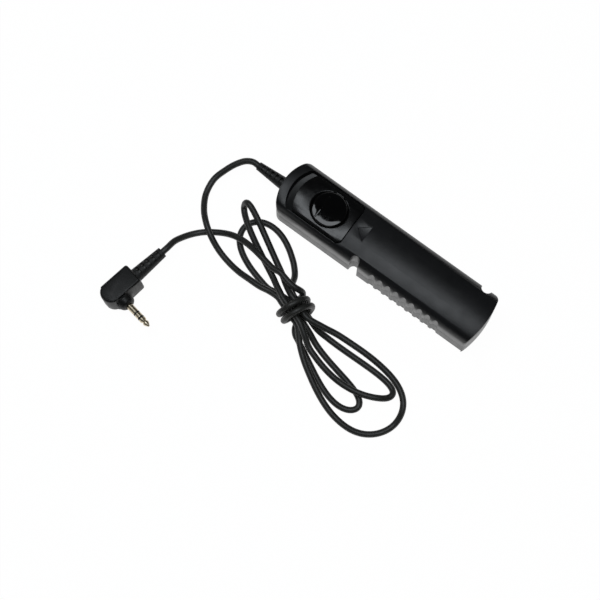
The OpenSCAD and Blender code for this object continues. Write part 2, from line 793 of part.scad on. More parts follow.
// Point of a loop in the bundle's own directions: along, across and height
function loop_at(l, t) =
    let (along = l[0] * sin(180 * t),
         across = l[1] * sin(360 * t) + mix(l[5], l[6], t) + l[3] * pow(sin(180 * t), 2)
             + l[4] * sin(360 * t) * sin(180 * t),
         turn = l[2] - waist_turn,
         z = layer_z(l[10], t) + l[7] * sin(360 * t) * pow(sin(180 * t), 8))
    [along * cos(turn) - across * sin(turn), along * sin(turn) + across * cos(turn), z];

// The same point, drawn in to its place in the tie
function drawn_in(l, t) =
    let (p = loop_at(l, t), place = t < 0.5 ? l[8] : l[9],
         f = smooth((abs(p[0]) - abs(loop_end(l))) / blend_l))
    place == undef ? p
        : [p[0], mix(bundle_r * cos(place), p[1], f),
           mix(wrap_z + bundle_r * sin(place), p[2], f)];

function loop_points(l) =
    let (t0 = asin(abs(loop_end(l)) / l[0]) / 180)
    [for (k = [0:loop_rings - 1])
        let (p = drawn_in(l, mix(t0, 1 - t0, k / (loop_rings - 1))))
        if (abs(p[0]) > abs(loop_end(l)) + 1.5 && (l[9] != undef || k < loop_rings / 2
            || p[0] > wrap_start + 6))
        at_waist(p[0], p[1], p[2])];

// Straight run through the tie, from one side to the other
function run_points(place, a_from, a_to) =
    [for (f = [0, 1 / 3, 2 / 3, 1]) at_place(place, mix(a_from, a_to, f))];

// Entry of the last loop into the wrap, a quarter of an ellipse on the surface
entry_l = 5.6;
entry_w = 4.8;
entry_points = [for (f = [0:16:80])
    at_waist(wrap_start + entry_l * (1 - sin(f)), -entry_w * cos(f), cord_d / 2)];

function wrap_at(u) = [wrap_start - wrap_pitch * u, wrap_r * cos(360 * u - 90),
    wrap_z + wrap_r * sin(360 * u - 90)];
wrap_steps = wrap_turns * wrap_rings;
wrap_points = [for (i = [0:wrap_steps])
    let (p = wrap_at(i / wrap_rings)) at_waist(p[0], p[1], p[2])];

// Exit from the wrap over the bundle, a cubic curve that ends straight
exit_at = [-10, 3.2, 11];
exit_dir = unit([-1, -0.12, 0]);
exit_l = 4.2;
exit_points =
    let (p0 = wrap_at(wrap_turns), d = unit(wrap_at(wrap_turns + 0.01) - p0),
         p1 = p0 + exit_l * d, p2 = exit_at - exit_l * exit_dir)
    [for (i = [1:8])
        let (t = i / 8, r = 1 - t,
             p = r * r * r * p0 + 3 * r * r * t * p1 + 3 * r * t * t * p2
                 + t * t * t * exit_at)
        at_waist(p[0], p[1], p[2])];
exit_end = exit_at + cord_d * exit_dir;
tail_start = exit_end + cord_d * exit_dir;

hank_points = concat(
    run_points(left, cord_side_end, loop_side_end),
    loop_points(LOOPS[0]), run_points(top_right, loop_side_end, cord_side_end),
    loop_points(LOOPS[1]), run_points(top_left, cord_side_end, loop_side_end),
    loop_points(LOOPS[2]), run_points(right, loop_side_end, cord_side_end),
    loop_points(LOOPS[3]), run_points(bottom, cord_side_end, loop_side_end),
    loop_points(LOOPS[4]), entry_points, wrap_points, exit_points,
    [at_waist(exit_end[0], exit_end[1], exit_end[2])]);

// Route from the grip's strain relief to the tie
LEAD = [[-61.9, -1.2, 6.8], [-64.3, -3.9, 5.7], [-66.3, -7.6, 4.3], [-67.97, -12.8, 2.8],
    [-67.15, -18.78, 2.2],
    [-64.03, -24.12, 3.2], [-60.05, -28.03, 4.5], [-55.38, -31.13, 4.1], [-50.33, -33.23, 2.2],
    [-45.3, -34.52, 1.6], [-39.78, -35.4, 2.4], [-34.28, -35.68, 4.2], [-29.77, -35.69, 5],
    [-25.49, -35.09, 5.4]];
// Route from the tie to the plug
TAIL = [[-28.93, -28.47, 10.3], [-32.44, -27.84, 9.7], [-35.96, -27.12, 9.2], [-39.98, -26.3, 7.8],
    [-44.49, -25.7, 5.6], [-48.49, -25.89, 4.2], [-52.47, -26.87, 2.2], [-56.13, -28.75, 1.2],
    [-59.18, -31.02, 1.2], [-61.72, -33.77, 1.4], [-63.66, -36.91, 2.3], [-65.08, -40.54, 3.8]];
plug_dir = [cos(plug_turn), sin(plug_turn), 0];
plug_entry = [plug_tip[0], plug_tip[1], plug_lift];
lead_points = concat(
    [[grommet_tip_x, 0, grommet_z], [grommet_tip_x - cord_d, 0, grommet_z]],
    LEAD, [at_place(left, cord_side_end - cord_d), at_place(left, cord_side_end)]);
tail_points = concat(
    [at_waist(exit_end[0], exit_end[1], exit_end[2]),
     at_waist(tail_start[0], tail_start[1], tail_start[2])],
    TAIL, [plug_entry - cord_d * plug_dir, plug_entry]);

// Length of a route, and least distance between stretches that lie apart along it
function route_l(p) = len(p) < 2 ? 0 : [for (i = [1:len(p) - 1]) norm(p[i] - p[i - 1])]
    * [for (i = [1:len(p) - 1]) 1];
function finer(p) = [for (i = [0:len(p) - 2]) for (f = [0, 1 / 3, 2 / 3]) mix(p[i], p[i + 1], f)];
function running(p) = [for (i = 0, s = 0; i < len(p); s = s + (i + 1 < len(p)
    ? norm(p[i + 1] - p[i]) : 0), i = i + 1) s];
function least_gap(p) =
    let (s = running(p), apart = 4 * cord_d)
    min([for (i = [0:len(p) - 1]) for (j = [i + 1:len(p) - 1])
        if (s[j] - s[i] > apart) norm(p[j] - p[i])]) - cord_d;

module cord_lead() color([0.20, 0.20, 0.19]) tube(lead_points, cord_d, 8);
module cord_tail() color([0.20, 0.20, 0.19]) tube(tail_points, cord_d, 8);
module cord_hank() color([0.20, 0.20, 0.19]) {
    tube(hank_points, cord_d, 6);
    echo(rings = len(hank_points), cord_length = route_l(lead_points)
        + route_l(hank_points) + route_l(tail_points));
    echo(hank_least_gap = least_gap(finer(hank_points)));
    echo(cord_least_gap = least_gap(finer(concat(lead_points, hank_points, tail_points))));
}

// ---- strain reliefs -----------------------------------------------------------

// Tapered sleeve along +Z, from d_base at z = 0 to d_tip at z = l. Windows go through it
// along X, so that it bends; a spine is left along each side
module windowed_sleeve(l, d_base, d_tip, windows, pitch, bore) {
    spine = 0.45;
    window_l = 0.45 * pitch;
    difference() {
        cylinder(d1 = d_base, d2 = d_tip, h = l, $fn = fn_small);
        translate([0, 0, -big / 2]) cylinder(d = bore, h = big, $fn = fn_small);
        for (i = [0:windows - 1])
            translate([0, 0, l / 2 + (i - (windows - 1) / 2) * pitch])
                cube([2 * d_base, d_tip - 2 * spine, window_l], center = true);
    }
}

module cord_grommet() color([0.13, 0.13, 0.13]) {
    translate([cord_end_x, 0, grommet_z]) rotate([0, -90, 0])
        windowed_sleeve(grommet_l, grommet_d, grommet_tip_d, grommet_windows, grommet_pitch,
            cord_bore_d);
    difference() {
        union() {
            translate([cord_end_x - eps, 0, grommet_z])
                rotate([0, 90, 0])
                    cylinder(d = grommet_d, h = flange_x - cord_end_x + 2 * eps, $fn = fn_small);
            translate([flange_x, 0, grommet_z])
                rotate([0, 90, 0])
                    cylinder(d = flange_d, h = flange_t, $fn = fn_small);
        }
        translate([cord_end_x - 1, 0, grommet_z])
            rotate([0, 90, 0])
                cylinder(d = cord_bore_d, h = 20, $fn = fn_small);
    }
}

// ---- plug ---------------------------------------------------------------------

// Puts a plug piece in place: local +X along the cord from its entry, +Y along the jack
module at_plug() {
    translate([plug_tip[0], plug_tip[1], plug_lift])
        rotate([0, 0, plug_turn])
            rotate([plug_roll, 0, 0])
                children();
}

// Rounded bar section
module round_bar(w, t, r) {
    square([w - 2 * r, t], center = true);
    square([w, t - 2 * r], center = true);
    for (sx = [-1, 1])
        for (sy = [-1, 1])
            translate([sx * (w / 2 - r), sy * (t / 2 - r)]) circle(r = r, $fn = fn_small);
}

module plug_body() color([0.10, 0.10, 0.105]) at_plug() {
    difference() {
        union() {
            intersection() {
                translate([boot_l, 0, 0])
                    rotate([90, 0, 90])
                        linear_extrude(height = plug_l) round_bar(plug_w, plug_t, plug_r);
                union() {
                    translate([boot_l + plug_l - plug_w / 2, 0, -plug_t])
                        cylinder(d = plug_w + 0.2, h = 2 * plug_t, $fn = fn_mid);
                    translate([boot_l - 1, -plug_w, -plug_t])
                        cube([plug_l - plug_w / 2 + 1, 2 * plug_w, 2 * plug_t]);
                }
            }
            translate([boot_l + jack_at, plug_w / 2 - eps, 0])
                rotate([-90, 0, 0])
                    cylinder(d1 = collar_d, d2 = collar_tip_d, h = collar_l, $fn = fn_mid);
        }
        translate([boot_l + jack_at, plug_w / 2 + collar_l - jack_root, 0])
            rotate([-90, 0, 0])
                cylinder(d = root_d + 2 * seat_gap, h = jack_root + 1, $fn = fn_small);
        translate([boot_l - 1, 0, 0])
            rotate([0, 90, 0])
                cylinder(d = cord_bore_d, h = plug_cord_l + 1, $fn = fn_small);
    }
}

module plug_strain_relief() color([0.12, 0.12, 0.12]) at_plug()
    translate([boot_l, 0, 0])
        rotate([0, -90, 0])
            windowed_sleeve(boot_l, boot_d, boot_tip_d, boot_windows, boot_pitch, cord_bore_d);

module plug_cord() color([0.20, 0.20, 0.19]) at_plug()
    rotate([0, 90, 0])
        cylinder(d = cord_d, h = boot_l + plug_cord_l, $fn = fn_small);

// Jack pieces along +Z from the collar's face
module at_jack() at_plug()
    translate([boot_l + jack_at, plug_w / 2 + collar_l, 0])
        rotate([-90, 0, 0])
            children();

tip_z = jack_l - tip_l;
front_band_z = tip_z - band_l;
ring_z = front_band_z - ring_l;
rear_band_z = ring_z - band_l;

module jack_part(d, z_from, z_to) difference() {
    translate([0, 0, z_from]) cylinder(d = d, h = z_to - z_from, $fn = fn_small);
    translate([0, 0, z_from - 1])
        cylinder(d = core_d + 2 * seat_gap, h = z_to - z_from + 2, $fn = fn_small);
}

module jack_sleeve() color([0.80, 0.76, 0.66]) at_jack() {
    jack_part(root_d, -jack_root, neck_l + eps);
    jack_part(jack_d, neck_l, rear_band_z);
}
module jack_rear_band() color([0.08, 0.08, 0.08]) at_jack() jack_part(jack_d, rear_band_z, ring_z);
module jack_ring() color([0.80, 0.76, 0.66]) at_jack() jack_part(jack_d, ring_z, front_band_z);
module jack_front_band() color([0.08, 0.08, 0.08]) at_jack() jack_part(jack_d, front_band_z, tip_z);
module jack_core() color([0.08, 0.08, 0.08]) at_jack()
    translate([0, 0, -jack_root]) cylinder(d = core_d, h = jack_root + tip_z, $fn = fn_small);

// Tip: a collar, a waist and a cone with a rounded point
module jack_tip() color([0.80, 0.76, 0.66]) at_jack()
    translate([0, 0, tip_z])
        rotate_extrude($fn = fn_mid)
            polygon([[0, 0], [jack_d / 2, 0], [jack_d / 2, 0.22 * tip_l],
                [0.64 * jack_d / 2, 0.37 * tip_l], [0.92 * jack_d / 2, 0.56 * tip_l],
                [0.76 * jack_d / 2, 0.73 * tip_l], [0.36 * jack_d / 2, 0.93 * tip_l],
                [0.16 * jack_d / 2, tip_l], [0, tip_l]]);

upper_shell();
lower_shell();
case_screws();
cord_grommet();
inner_cord();
wire_common();
wire_focus();
wire_release();
contact_base();
contact_spacers();
contact_screw();
common_contact();
focus_contact();
release_contact();
lock_slider();
shutter_button();
button_spring();
plug_body();
plug_strain_relief();
plug_cord();
jack_core();
jack_tip();
jack_front_band();
jack_ring();
jack_rear_band();
jack_sleeve();
cord_lead();
cord_hank();
cord_tail();
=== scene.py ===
import math
from collections import namedtuple

import bpy
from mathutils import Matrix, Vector


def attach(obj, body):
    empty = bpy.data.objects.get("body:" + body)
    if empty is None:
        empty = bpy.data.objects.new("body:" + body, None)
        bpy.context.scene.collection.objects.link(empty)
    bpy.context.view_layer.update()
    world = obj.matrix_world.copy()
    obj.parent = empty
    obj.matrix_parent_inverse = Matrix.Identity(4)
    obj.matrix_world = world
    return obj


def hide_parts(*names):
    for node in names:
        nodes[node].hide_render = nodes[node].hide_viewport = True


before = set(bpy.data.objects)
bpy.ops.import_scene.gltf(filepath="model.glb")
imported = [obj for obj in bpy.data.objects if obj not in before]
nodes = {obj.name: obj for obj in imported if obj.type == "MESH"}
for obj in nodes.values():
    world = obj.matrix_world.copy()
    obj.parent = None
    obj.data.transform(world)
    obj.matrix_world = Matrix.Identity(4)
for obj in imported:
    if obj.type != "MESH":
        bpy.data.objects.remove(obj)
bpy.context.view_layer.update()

# ---- Camera -------------------------------------------------------------------
# A long lens high above the remote, on its finger-bump side and a little towards the tail. It
# looks down on all of it: grip, bundle of cord and plug.
eye_turn = math.radians(36.63)
eye_height = math.radians(77)
eye_distance = 0.65
looked_at = Vector((-0.0156, -0.03013, 0))
eye = looked_at + eye_distance * Vector((
    math.sin(eye_turn) * math.cos(eye_height),
    -math.cos(eye_turn) * math.cos(eye_height),
    math.sin(eye_height)))
bpy.ops.object.camera_add(
    location=eye, rotation=(looked_at - eye).to_track_quat("-Z", "Y").to_euler())
camera = bpy.context.object
camera.name = "camera"
camera.data.lens = 106.85
camera.data.clip_start = 0.02
bpy.context.scene.camera = camera

# ---- Cord ---------------------------------------------------------------------
# A thin round cord with a soft black PVC jacket, slightly satin, of one continuous length. It
# leaves the grip's strain relief, is folded into five loops through one waist, is wound twice
# round that waist, and runs on to the plug's strain relief. All points are millimetres.
cord_d = 2.4
cord_step = 0.55
waist = (-12.97, -35.62)
waist_turn = math.radians(-19.47)
# the tie: where its straight runs end along the waist, and how they and the wrap are spaced
loop_side_end = 4
cord_side_end = -6
run_pitch = 3.1
bundle_r = run_pitch / (2 * math.sin(math.radians(36)))
wrap_gap = 3
wrap_r = bundle_r + wrap_gap
wrap_z = cord_d / 2 + wrap_r
wrap_pitch = 2.95
wrap_start = 2.2
wrap_turns = 2.2
wrap_rings = 20
# places of the five runs round the middle of the tie, as angles
right, top_right, top_left, left, bottom = -18, 54, 126, 198, 270

# A loop has its reach, spread, lean, bow and skew, its side shift at the start and at the end,
# the tilt of its tip, its two places in the tie, and its height in cord layers at equal steps
# round it. It blends into the tie over blend_l, and starts tie_margin outside the tie. The last
# one stops open_margin short of the wrap.
blend_l = 8
tie_margin = 1.5
open_margin = 6
layer_pitch = 2.9
loop_rings = 28
Loop = namedtuple("Loop", "reach spread lean bow skew side_in side_out tilt "
                          "place_in place_out heights")
loops = [
    Loop(53.2, -10.2, -16.67, 3.5, -1.8, -3, 1, 0, left, top_right,
        [1.2, 1, 0.6, 0, 0, 1, 1, 1.5, 2.6]),
    Loop(45, -0.3, 153.73, -2, -1.3, -1.5, 2, 7, top_right, top_left,
        [2.4, 1.5, 1.4, 1.45, 1.6, 1.75, 1.45, 2, 2.8]),
    Loop(43.3, -5, -21.97, 13, -0.4, -1.5, 1.2, 0, top_left, right,
        [2.6, 1.6, 1, 1, 0.3, 0, 0, 0, 0.6]),
    Loop(38.6, -8.3, 150.23, 2.1, 0.6, -0.6, 0.2, 0, right, bottom,
        [0.8, 0, 0, 0, 0, 0, 0, 0, 0.4]),
    Loop(40.1, -1.2, -29.57, 6.5, 5.9, 1.5, -4, 0, bottom, None,
        [0.4, 0, 0, 0, 0, 0, 0, 0, 0]),
]


def mix(a, b, f):
    return a + (b - a) * f


def eased(x):
    c = min(max(x, 0), 1)
    return c * c * (3 - 2 * c)


def layer_z(heights, t):
    """Height of the cord's middle at t, eased between heights that are given in cord layers."""
    n = len(heights) - 1
    i = min(int(t * n), n - 1)
    return cord_d / 2 + layer_pitch * mix(heights[i], heights[i + 1], eased(t * n - i))


def at_waist(along, across, z):
    """Point at a distance along and across the waist's own direction."""
    c, s = math.cos(waist_turn), math.sin(waist_turn)
    return Vector((waist[0] + along * c - across * s, waist[1] + along * s + across * c, z))


def at_place(place, along):
    """Point on the run that lies at this place round the middle of the tie."""
    a = math.radians(place)
    return at_waist(along, bundle_r * math.cos(a), wrap_z + bundle_r * math.sin(a))


def loop_end(loop):
    """Where the tie ends on the loop's own side, along the waist."""
    towards_tail = math.cos(math.radians(loop.lean) - waist_turn) > 0
    return loop_side_end if towards_tail else cord_side_end


def loop_at(loop, t):
    """Along, across and height of a loop's point, drawn in to its place in the tie."""
    half, full = math.sin(math.pi * t), math.sin(2 * math.pi * t)
    along = loop.reach * half
    across = (loop.spread * full + mix(loop.side_in, loop.side_out, t) + loop.bow * half ** 2
              + loop.skew * full * half)
    turn = math.radians(loop.lean) - waist_turn
    z = layer_z(loop.heights, t) + loop.tilt * full * half ** 8
    a = along * math.cos(turn) - across * math.sin(turn)
    c = along * math.sin(turn) + across * math.cos(turn)
    place = loop.place_in if t < 0.5 else loop.place_out
    if place is None:
        return a, c, z
    f = eased((abs(a) - abs(loop_end(loop))) / blend_l)
    p = math.radians(place)
    return (a, mix(bundle_r * math.cos(p), c, f), mix(wrap_z + bundle_r * math.sin(p), z, f))


def loop_points(loop):
    """The loop's points outside the tie."""
    t0 = math.asin(abs(loop_end(loop)) / loop.reach) / math.pi
    open_end = loop.place_out is None
    points = []
    for k in range(loop_rings):
        a, c, z = loop_at(loop, mix(t0, 1 - t0, k / (loop_rings - 1)))
        if abs(a) > abs(loop_end(loop)) + tie_margin and (
                not open_end or k < loop_rings / 2 or a > wrap_start + open_margin):
            points.append(at_waist(a, c, z))
    return points


def run_points(place, start, end):
    """Four points along a straight run through the tie."""
    return [at_place(place, mix(start, end, f / 3)) for f in range(4)]


def wrap_at(turns):
    """Along, across and height on the helix of the wrap, so many turns from its start."""
    a = math.radians(360 * turns - 90)
    return Vector((wrap_start - wrap_pitch * turns, wrap_r * math.cos(a),
                   wrap_z + wrap_r * math.sin(a)))


grip_exit = Vector((-56.9, 0, 7.4))
plug_turn = math.radians(-100.5)
plug_roll = math.radians(10)
plug_w, plug_t, plug_r = 8.6, 8.5, 1
plug_lift = ((plug_w / 2 - plug_r) * math.sin(plug_roll)
             + (plug_t / 2 - plug_r) * math.cos(plug_roll) + plug_r)
plug_dir = Vector((math.cos(plug_turn), math.sin(plug_turn), 0))
plug_entry = Vector((-65.9, -46.6, plug_lift))

route = [grip_exit, grip_exit - Vector((cord_d, 0, 0))]
route += [Vector(p) for p in (
    (-61.9, -1.2, 6.8), (-64.3, -3.9, 5.7), (-66.3, -7.6, 4.3), (-67.97, -12.8, 2.8),
    (-67.15, -18.78, 2.2), (-64.03, -24.12, 3.2), (-60.05, -28.03, 4.5), (-55.38, -31.13, 4.1),
    (-50.33, -33.23, 2.2), (-45.3, -34.52, 1.6), (-39.78, -35.4, 2.4), (-34.28, -35.68, 4.2),
    (-29.77, -35.69, 5), (-25.49, -35.09, 5.4))]
route.append(at_place(left, cord_side_end - cord_d))
for loop in loops:
    out_of_tie = loop_end(loop)
    into_tie = cord_side_end if out_of_tie > 0 else loop_side_end
    route += run_points(loop.place_in, into_tie, out_of_tie)
    route += loop_points(loop)
# the last loop enters the wrap along the surface, on a quarter of an ellipse
entry_l, entry_w = 5.6, 4.8
for angle in range(0, 81, 16):
    a = math.radians(angle)
    route.append(at_waist(wrap_start + entry_l * (1 - math.sin(a)), -entry_w * math.cos(a),
                          cord_d / 2))
route += [at_waist(*wrap_at(i / wrap_rings)) for i in range(int(wrap_turns * wrap_rings) + 1)]
# out of the wrap over the bundle, on a cubic curve that ends straight
wrap_exit = Vector((-10, 3.2, 11))
exit_dir = Vector((-1, -0.12, 0)).normalized()
exit_pull = 4.2
first = wrap_at(wrap_turns)
second = first + exit_pull * (wrap_at(wrap_turns + 0.01) - first).normalized()
third = wrap_exit - exit_pull * exit_dir
for i in range(1, 9):
    t = i / 8
    r = 1 - t
    route.append(at_waist(*(r ** 3 * first + 3 * r * r * t * second + 3 * r * t * t * third
                            + t ** 3 * wrap_exit)))
route += [at_waist(*(wrap_exit + n * cord_d * exit_dir)) for n in (1, 2)]
route += [Vector(p) for p in (
    (-28.93, -28.47, 10.3), (-32.44, -27.84, 9.7), (-35.96, -27.12, 9.2), (-39.98, -26.3, 7.8),
    (-44.49, -25.7, 5.6), (-48.49, -25.89, 4.2), (-52.47, -26.87, 2.2), (-56.13, -28.75, 1.2),
    (-59.18, -31.02, 1.2), (-61.72, -33.77, 1.4), (-63.66, -36.91, 2.3), (-65.08, -40.54, 3.8))]
route += [plug_entry - cord_d * plug_dir, plug_entry]


def curved_through(points, step):
    """Points about a step apart on a smooth curve through the route's own points."""
    least_gap = 0.05
    kept = [points[0]]
    for p in points[1:]:
        if (p - kept[-1]).length > least_gap:
            kept.append(p)
    ends = [2 * kept[0] - kept[1]] + kept + [2 * kept[-1] - kept[-2]]
    curve = []
    for p0, p1, p2, p3 in zip(ends, ends[1:], ends[2:], ends[3:]):
        t1 = math.sqrt((p1 - p0).length)
        t2 = t1 + math.sqrt((p2 - p1).length)
        t3 = t2 + math.sqrt((p3 - p2).length)
        count = max(1, math.ceil((p2 - p1).length / step))
        for k in range(count):
            t = mix(t1, t2, k / count)
            a1 = p0.lerp(p1, t / t1)
            a2 = p1.lerp(p2, (t - t1) / (t2 - t1))
            a3 = p2.lerp(p3, (t - t2) / (t3 - t2))
            b1 = a1.lerp(a2, t / t2)
            b2 = a2.lerp(a3, (t - t1) / (t3 - t1))
            curve.append(b1.lerp(b2, (t - t1) / (t2 - t1)))
    return curve + [kept[-1]]


def evenly_spaced(points, step):
    """Points an even step apart along the same curve, none nearer the table than the cord."""
    lengths = [(b - a).length for a, b in zip(points, points[1:])]
    count = round(sum(lengths) / step)
    even = sum(lengths) / count
    spaced, reached = [points[0]], 0
    for a, b, length in zip(points, points[1:], lengths):
        while len(spaced) < count and len(spaced) * even <= reached + length:
            p = a.lerp(b, (len(spaced) * even - reached) / length)
            spaced.append(Vector((p.x, p.y, max(p.z, cord_d / 2))))
        reached += length
    return spaced + [points[-1]]


cord_line = [p / 1000 for p in evenly_spaced(curved_through(route, cord_step / 3), cord_step)]
cord_curve = bpy.data.curves.new("cord", "CURVE")
cord_curve.dimensions = "3D"
cord_curve.bevel_depth = cord_d / 2000
cord_curve.bevel_resolution = 5
cord_curve.use_fill_caps = True
spline = cord_curve.splines.new("POLY")
spline.points.add(len(cord_line) - 1)
for place, p in zip(spline.points, cord_line):
    place.co = (*p, 1)
spline.use_smooth = True
cord = bpy.data.objects.new("cord", cord_curve)
bpy.context.scene.collection.objects.link(cord)


def new_finish(name, metallic=0):
    """A material, its node tree and its shader."""
    material = bpy.data.materials.new(name)
    material.use_nodes = True
    tree = material.node_tree
    shader = tree.nodes["Principled BSDF"]
    shader.inputs["Metallic"].default_value = metallic
    return material, tree, shader


def grain(tree, size, detail):
    """Noise on the object's own coordinates, of grains about size metres across."""
    place = tree.nodes.new("ShaderNodeTexCoord")
    noise = tree.nodes.new("ShaderNodeTexNoise")
    noise.inputs["Scale"].default_value = 1 / size
    noise.inputs["Detail"].default_value = detail
    tree.links.new(place.outputs["Object"], noise.inputs["Vector"])
    return noise.outputs["Fac"]


def spread(tree, value, low, high, lowest, highest):
    """The value's stretch from low to high, mapped to lowest and highest."""
    ramp = tree.nodes.new("ShaderNodeMapRange")
    for socket, number in zip(ramp.inputs[1:5], (low, high, lowest, highest)):
        socket.default_value = number
    tree.links.new(value, ramp.inputs[0])
    return ramp.outputs[0]


def mottled(tree, size, detail, lowest, highest):
    """Numbers from lowest to highest, in patches about size metres across."""
    return spread(tree, grain(tree, size, detail), 0.3, 0.7, lowest, highest)


def coloured(tree, shader, size, detail, dark, light):
    """Colours the shader from dark to light, in patches about size metres across."""
    colour = tree.nodes.new("ShaderNodeMix")
    colour.data_type = "RGBA"
    for socket, value in ((colour.inputs["A"], dark), (colour.inputs["B"], light)):
        socket.default_value = (*value, 1)
    tree.links.new(mottled(tree, size, detail, 0, 1), colour.inputs["Factor"])
    tree.links.new(colour.outputs["Result"], shader.inputs["Base Color"])


def roughened(tree, shader, size, detail, lowest, highest):
    """Roughness from lowest to highest, in patches about size metres across."""
    tree.links.new(mottled(tree, size, detail, lowest, highest), shader.inputs["Roughness"])


def raised(tree, shader, height, depth, strength):
    """Relief of the given depth in metres, on top of any that the shader has."""
    relief = tree.nodes.new("ShaderNodeBump")
    relief.inputs["Distance"].default_value = depth
    relief.inputs["Strength"].default_value = strength
    tree.links.new(height, relief.inputs["Height"])
    if shader.inputs["Normal"].links:
        tree.links.new(shader.inputs["Normal"].links[0].from_socket, relief.inputs["Normal"])
    tree.links.new(relief.outputs["Normal"], shader.inputs["Normal"])


def dress(finish, *names):
    """Gives this finish to CAD pieces."""
    for name in names:
        nodes[name].material_slots[0].material = finish


cord_finish, tree, shader = new_finish("cord_jacket")
coloured(tree, shader, 0.006, 3, (0.021, 0.022, 0.020), (0.034, 0.034, 0.030))
roughened(tree, shader, 0.0012, 3, 0.40, 0.52)
raised(tree, shader, grain(tree, 0.00025, 2), 0.000004, 0.5)
raised(tree, shader, grain(tree, 0.005, 2), 0.00003, 0.3)
cord_curve.materials.append(cord_finish)

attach(cord, "housing")
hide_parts("cord_lead", "cord_hank", "cord_tail")
dress(cord_finish, "inner_cord", "plug_cord")

# ---- Case ---------------------------------------------------------------------
# Two shells of black ABS, moulded with a fine even spark texture and screwed together from
# below. Their edges are slightly rounded, and polished a little where the hand rubs them.
edge_r = 0.00016
edge_sharpness = 38


def edge_wear(tree, reach):
    """1 along edges that stand proud, fading over the given reach in metres."""
    rounded = tree.nodes.new("ShaderNodeBevel")
    rounded.inputs["Radius"].default_value = reach
    plain = tree.nodes.new("ShaderNodeNewGeometry")
    turn = tree.nodes.new("ShaderNodeVectorMath")
    turn.operation = "DOT_PRODUCT"
    tree.links.new(rounded.outputs["Normal"], turn.inputs[0])
    tree.links.new(plain.outputs["Normal"], turn.inputs[1])
    return spread(tree, turn.outputs["Value"], 0.995, 0.9, 0, 1)


def mixed_values(tree, factor, a, b):
    """Value between the sockets or numbers a and b."""
    value = tree.nodes.new("ShaderNodeMix")
    tree.links.new(factor, value.inputs["Factor"])
    for socket, source in ((value.inputs["A"], a), (value.inputs["B"], b)):
        if isinstance(source, (int, float)):
            socket.default_value = source
        else:
            tree.links.new(source, socket)
    return value.outputs["Result"]


def round_edges(name, body, finish, width, sharpness, segments=2, flat_faces=False):
    """Puts a copy of a CAD piece in its place, with its edges rounded where they turn by more
    than sharpness degrees. With flat_faces, large flat faces also keep a flat shading."""
    dress(finish, name)
    piece = bpy.data.objects.new("moulded_" + name, nodes[name].data.copy())
    bpy.context.scene.collection.objects.link(piece)
    bpy.ops.object.select_all(action="DESELECT")
    piece.select_set(True)
    bpy.context.view_layer.objects.active = piece
    bpy.ops.mesh.customdata_custom_splitnormals_clear()
    bpy.ops.object.mode_set(mode="EDIT")
    bpy.ops.mesh.select_all(action="SELECT")
    bpy.ops.mesh.remove_doubles(threshold=0.000002)
    bpy.ops.mesh.dissolve_limited(angle_limit=math.radians(0.5))
    bpy.ops.object.mode_set(mode="OBJECT")
    edges = piece.modifiers.new("edges", "BEVEL")
    edges.width = width
    edges.segments = segments
    edges.limit_method = "ANGLE"
    edges.angle_limit = math.radians(sharpness)
    edges.use_clamp_overlap = False
    bpy.ops.object.modifier_apply(modifier=edges.name)
    for corner in piece.data.vertices:
        corner.co.z = max(corner.co.z, 0)  # nothing reaches into the table
    bpy.ops.object.shade_smooth_by_angle(angle=math.radians(32))
    if flat_faces:
        flats = piece.modifiers.new("flats", "WEIGHTED_NORMAL")
        flats.weight = 100
        flats.keep_sharp = True
        bpy.ops.object.modifier_apply(modifier=flats.name)
    piece.material_slots[0].material = finish
    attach(piece, body)
    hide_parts(name)
    return piece


case_finish, tree, shader = new_finish("case_black")
coloured(tree, shader, 0.011, 4, (0.0095, 0.0097, 0.0105), (0.0135, 0.0138, 0.0150))
tree.links.new(mixed_values(tree, edge_wear(tree, 0.0003),
                            mottled(tree, 0.0045, 4, 0.32, 0.39), 0.30),
               shader.inputs["Roughness"])
shader.inputs["Specular IOR Level"].default_value = 0.42
raised(tree, shader, grain(tree, 0.00016, 2), 0.000012, 0.6)
round_edges("upper_shell", "housing", case_finish, edge_r, edge_sharpness)
round_edges("lower_shell", "housing", case_finish, edge_r, edge_sharpness,
            flat_faces=True)

# ---- Screws and spring --------------------------------------------------------
# Three small cross-slotted screws of plated steel close the case. The same steel makes the
# contact block's screw and the coil spring under the button.
steel_finish, tree, shader = new_finish("steel", metallic=1)
coloured(tree, shader, 0.0008, 3, (0.42, 0.42, 0.43), (0.55, 0.55, 0.55))
roughened(tree, shader, 0.0004, 3, 0.28, 0.42)
raised(tree, shader, grain(tree, 0.0001, 2), 0.000006, 0.5)
dress(steel_finish, "case_screws", "contact_screw", "button_spring")

# ---- Lock slider and button ---------------------------------------------------
# Both are black ABS. The slider runs in the case's recess and has a fine satin shine; the button
# stands in the slider's round well on its spring and comes from a polished mould.
for name, body, low, high, relief in (("lock_slider", "slider", 0.20, 0.26, 0.000004),
                                      ("shutter_button", "button", 0.05, 0.08, 0.0000015)):
    gloss_finish, tree, shader = new_finish(name)
    coloured(tree, shader, 0.005, 3, (0.0035, 0.0035, 0.0037), (0.0050, 0.0050, 0.0052))
    rubbed = spread(tree, grain(tree, 0.0018, 4), 0.35, 0.7, low, high)
    tree.links.new(mixed_values(tree, edge_wear(tree, 0.0002), rubbed, 0.22),
                   shader.inputs["Roughness"])
    raised(tree, shader, grain(tree, 0.0012, 2), relief, 0.5)
    round_edges(name, body, gloss_finish, edge_r, edge_sharpness)

